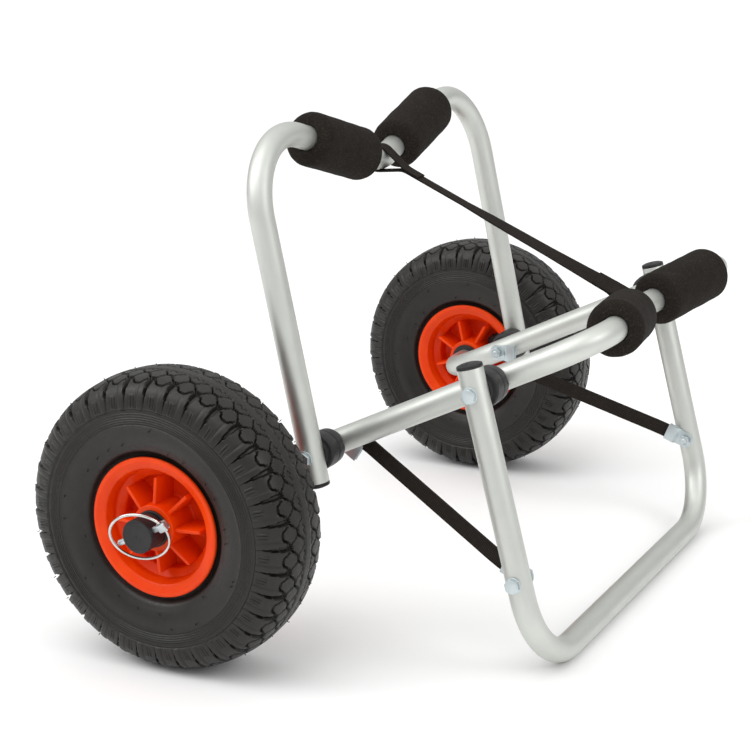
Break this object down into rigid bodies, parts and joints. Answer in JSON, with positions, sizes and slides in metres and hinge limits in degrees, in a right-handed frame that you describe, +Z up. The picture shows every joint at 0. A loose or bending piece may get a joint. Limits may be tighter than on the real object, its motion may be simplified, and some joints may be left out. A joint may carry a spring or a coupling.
{
  "type": "kayak cart",
  "caption": "Folding kayak cart: a bent tube frame with a cradle and a stand pivoted on it, foam pads, ties of webbing and pneumatic wheels held by linch pins.",
  "frame": {"origin": "on the ground under the middle of the whole cart's box, standing on its wheels and its stand", "axes": "+X from the wheels towards the stand, +Y along the axle to the left, +Z up"},
  "size_m": [0.4738, 0.7466, 0.4502],
  "materials": {
    "aluminium_tube": "satin anodised tube, fine lengthwise grain",
    "foam": "closed-cell foam with a matt, fine-pored skin",
    "black_plastic": "moulded black nylon, half matt",
    "zinc_steel": "bright zinc plate",
    "ring_steel": "bright drawn wire",
    "rim_plastic": "moulded orange-red plastic, half gloss",
    "tyre": "black rubber with a moulded block tread",
    "tube_rubber": "smooth black butyl rubber",
    "webbing": "woven black polypropylene webbing"
  },
  "bodies": {
    "frame": {"main_frame": "aluminium_tube", "main_pad_left": "foam", "main_pad_right": "foam", "cradle_knuckle_inner_left": "black_plastic", "cradle_knuckle_inner_right": "black_plastic", "stand_knuckle_inner_left": "black_plastic", "stand_knuckle_inner_right": "black_plastic", "cradle_pivot_bolt_left": "zinc_steel", "cradle_pivot_bolt_right": "zinc_steel", "cradle_pivot_nut_left": "zinc_steel", "cradle_pivot_nut_right": "zinc_steel", "stand_pivot_bolt_left": "zinc_steel", "stand_pivot_bolt_right": "zinc_steel", "stand_pivot_nut_left": "zinc_steel", "stand_pivot_nut_right": "zinc_steel", "strap_clip_front_left": "zinc_steel", "strap_clip_front_right": "zinc_steel", "axle_cap_left": "black_plastic", "axle_cap_right": "black_plastic", "linch_pin_left": "zinc_steel", "linch_pin_right": "zinc_steel", "top_strap": "webbing", "lower_strap_left": "webbing", "lower_strap_right": "webbing"},
    "cradle": {"cradle_frame": "aluminium_tube", "cradle_pad_left": "foam", "cradle_pad_right": "foam", "cradle_knuckle_outer_left": "black_plastic", "cradle_knuckle_outer_right": "black_plastic", "cradle_plug_left": "black_plastic", "cradle_plug_right": "black_plastic"},
    "stand": {"stand_frame": "aluminium_tube", "stand_knuckle_outer_left": "black_plastic", "stand_knuckle_outer_right": "black_plastic", "stand_plug_left": "black_plastic", "stand_plug_right": "black_plastic", "strap_bolt_left": "zinc_steel", "strap_bolt_right": "zinc_steel", "strap_nut_left": "zinc_steel", "strap_nut_right": "zinc_steel", "strap_clip_rear_left": "zinc_steel", "strap_clip_rear_right": "zinc_steel"},
    "wheel_left": {"tyre_left": "tyre", "rim_left": "rim_plastic", "inner_tube_left": "tube_rubber", "valve_cap_left": "black_plastic", "hub_bushing_outer_left": "black_plastic", "hub_bushing_inner_left": "black_plastic"},
    "wheel_right": {"tyre_right": "tyre", "rim_right": "rim_plastic", "inner_tube_right": "tube_rubber", "valve_cap_right": "black_plastic", "hub_bushing_outer_right": "black_plastic", "hub_bushing_inner_right": "black_plastic"},
    "ring_left": {"linch_ring_left": "ring_steel"},
    "ring_right": {"linch_ring_right": "ring_steel"}
  },
  "joints": [
    {"name": "cradle_fold", "type": "hinge", "parent": "frame", "child": "cradle", "pos_m": [-0.02224, 0, 0.17076], "axis": [0, 1, 0], "range_deg": [0, 60], "deforming": ["top_strap"]},
    {"name": "stand_fold", "type": "hinge", "parent": "frame", "child": "stand", "pos_m": [0.1323, 0, 0.24514], "axis": [0, 1, 0], "range_deg": [0, 62], "deforming": ["lower_strap_left", "lower_strap_right"]},
    {"name": "wheel_left_spin", "type": "hinge", "parent": "frame", "child": "wheel_left", "pos_m": [-0.10694, 0.3085, 0.13], "axis": [0, 1, 0], "continuous": true},
    {"name": "wheel_right_spin", "type": "hinge", "parent": "frame", "child": "wheel_right", "pos_m": [-0.10694, -0.3085, 0.13], "axis": [0, 1, 0], "continuous": true},
    {"name": "ring_left_swing", "type": "hinge", "parent": "frame", "child": "ring_left", "pos_m": [-0.08576, 0.3575, 0.14019], "axis": [0.3756, -0.5, -0.7804], "range_deg": [0, 100]},
    {"name": "ring_right_swing", "type": "hinge", "parent": "frame", "child": "ring_right", "pos_m": [-0.08576, -0.3575, 0.14019], "axis": [-0.3756, -0.5, 0.7804], "range_deg": [0, 100]}
  ]
}
